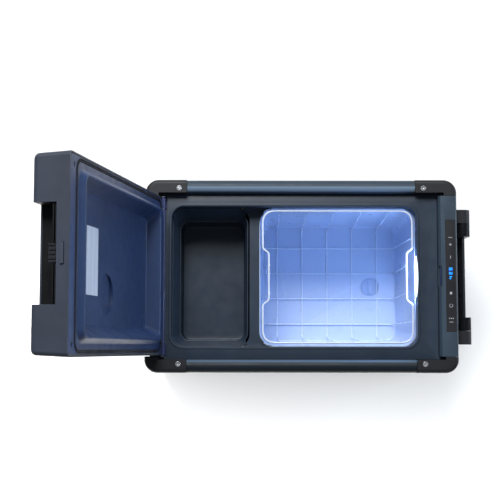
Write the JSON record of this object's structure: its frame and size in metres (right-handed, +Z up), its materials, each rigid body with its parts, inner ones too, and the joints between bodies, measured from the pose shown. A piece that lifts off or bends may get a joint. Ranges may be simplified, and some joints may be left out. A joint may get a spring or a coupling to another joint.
{
  "type": "compressor cooler fridge",
  "caption": "Portable compressor cooler with an end-hinged lid, wire basket, small upper compartment, touch panel, corner guards and swing handles, lid open.",
  "frame": {"origin": "on the ground, at the centre of the rectangle of the four feet and of the cabinet", "axes": "+X along the cabinet from the hinge end to the control end, +Y from the front side to the back side, +Z up"},
  "size_m": [0.8012, 0.396, 0.9276],
  "materials": {
    "slate_plastic": "satin",
    "charcoal_plastic": "satin",
    "foot_rubber": "matte",
    "screw_steel": "polished",
    "deck_plastic": "satin",
    "liner_white": "satin",
    "foam": "matte",
    "evaporator_aluminium": "satin",
    "copper": "satin",
    "led_lens": "gloss",
    "drain_white": "satin",
    "panel_black": "gloss",
    "display_cyan": "gloss",
    "icon_white": "satin",
    "bay_sheet": "satin",
    "compressor_black": "satin",
    "condenser_aluminium": "satin",
    "fan_plastic": "satin",
    "board_case": "satin",
    "inlet_black": "satin",
    "hinge_blue": "satin",
    "lid_navy": "satin",
    "seal_rubber": "matte",
    "label_paper": "matte",
    "dark_screw": "satin",
    "latch_black": "satin",
    "latch_grey": "satin",
    "basket_wire": "gloss"
  },
  "bodies": {
    "cabinet": {"body_shell": "slate_plastic", "base_pan": "charcoal_plastic", "feet": "foot_rubber", "foot_screws": "screw_steel", "back_rail": "slate_plastic", "front_rail": "slate_plastic", "hinge_end_rail": "slate_plastic", "control_end_rail": "slate_plastic", "guard_front_left": "charcoal_plastic", "guard_front_right": "charcoal_plastic", "guard_back_left": "charcoal_plastic", "guard_back_right": "charcoal_plastic", "lower_guards": "charcoal_plastic", "guard_screws": "screw_steel", "top_deck": "deck_plastic", "side_tray": "deck_plastic", "liner_tub": "liner_white", "insulation_foam": "foam", "evaporator_jacket": "evaporator_aluminium", "evaporator_tube": "copper", "led_lamp": "led_lens", "drain_sleeve": "drain_white", "strike_plate": "screw_steel", "control_panel": "panel_black", "panel_display": "display_cyan", "panel_icons": "icon_white", "bay_bulkhead": "bay_sheet", "compressor": "compressor_black", "compressor_mounts": "foot_rubber", "condenser": "condenser_aluminium", "fan_housing": "fan_plastic", "filter_drier": "copper", "control_board": "board_case", "inlet_panel": "charcoal_plastic", "dc_inlet": "inlet_black", "ac_inlet": "inlet_black", "intake_grille": "charcoal_plastic", "exhaust_grilles": "charcoal_plastic", "hinge_knuckles": "hinge_blue", "hinge_screws": "screw_steel", "hinge_pin": "screw_steel", "handle_brackets": "charcoal_plastic", "handle_pins": "screw_steel"},
    "lid": {"lid_hinge_barrel": "hinge_blue", "lid_shell": "slate_plastic", "lid_liner": "lid_navy", "lid_foam": "foam", "lid_gasket": "seal_rubber", "lid_label": "label_paper", "lid_screws": "dark_screw", "latch_housing": "latch_black", "latch_springs": "screw_steel"},
    "latch": {"latch_slider": "latch_grey"},
    "basket": {"basket_rim": "basket_wire", "basket_cross_wires": "basket_wire", "basket_long_wires": "basket_wire"},
    "drain_plug": {"drain_plug": "drain_white"},
    "fan": {"fan_rotor": "fan_plastic"},
    "handle_right": {"handle_right": "charcoal_plastic"},
    "handle_left": {"handle_left": "charcoal_plastic"}
  },
  "joints": [
    {"name": "lid_hinge", "type": "hinge", "parent": "cabinet", "child": "lid", "pos_m": [-0.285, 0, 0.3724], "axis": [0, -1, 0], "range_deg": [-100.4, 0]},
    {"name": "latch_press", "type": "slide", "parent": "lid", "child": "latch", "axis": [0.1805, 0, -0.9836], "range_m": [0, 0.005], "stiffness_N_per_m": 500, "springref_m": -0.003, "deforming": ["latch_springs"]},
    {"name": "basket_lift", "type": "slide", "parent": "cabinet", "child": "basket", "axis": [0, 0, 1], "range_m": [0, 0.28]},
    {"name": "drain_turn", "type": "hinge", "parent": "cabinet", "child": "drain_plug", "pos_m": [0.171, -0.007, 0.09], "axis": [0, 0, 1], "range_deg": [0, 90]},
    {"name": "fan_spin", "type": "hinge", "parent": "cabinet", "child": "fan", "pos_m": [-0.262, -0.035, 0.112], "axis": [1, 0, 0], "continuous": true},
    {"name": "handle_right_swing", "type": "hinge", "parent": "cabinet", "child": "handle_right", "pos_m": [0.3403, 0, 0.342], "axis": [0, -1, 0], "range_deg": [0, 95]},
    {"name": "handle_left_swing", "type": "hinge", "parent": "cabinet", "child": "handle_left", "pos_m": [-0.3403, 0, 0.342], "axis": [0, 1, 0], "range_deg": [0, 95]}
  ]
}
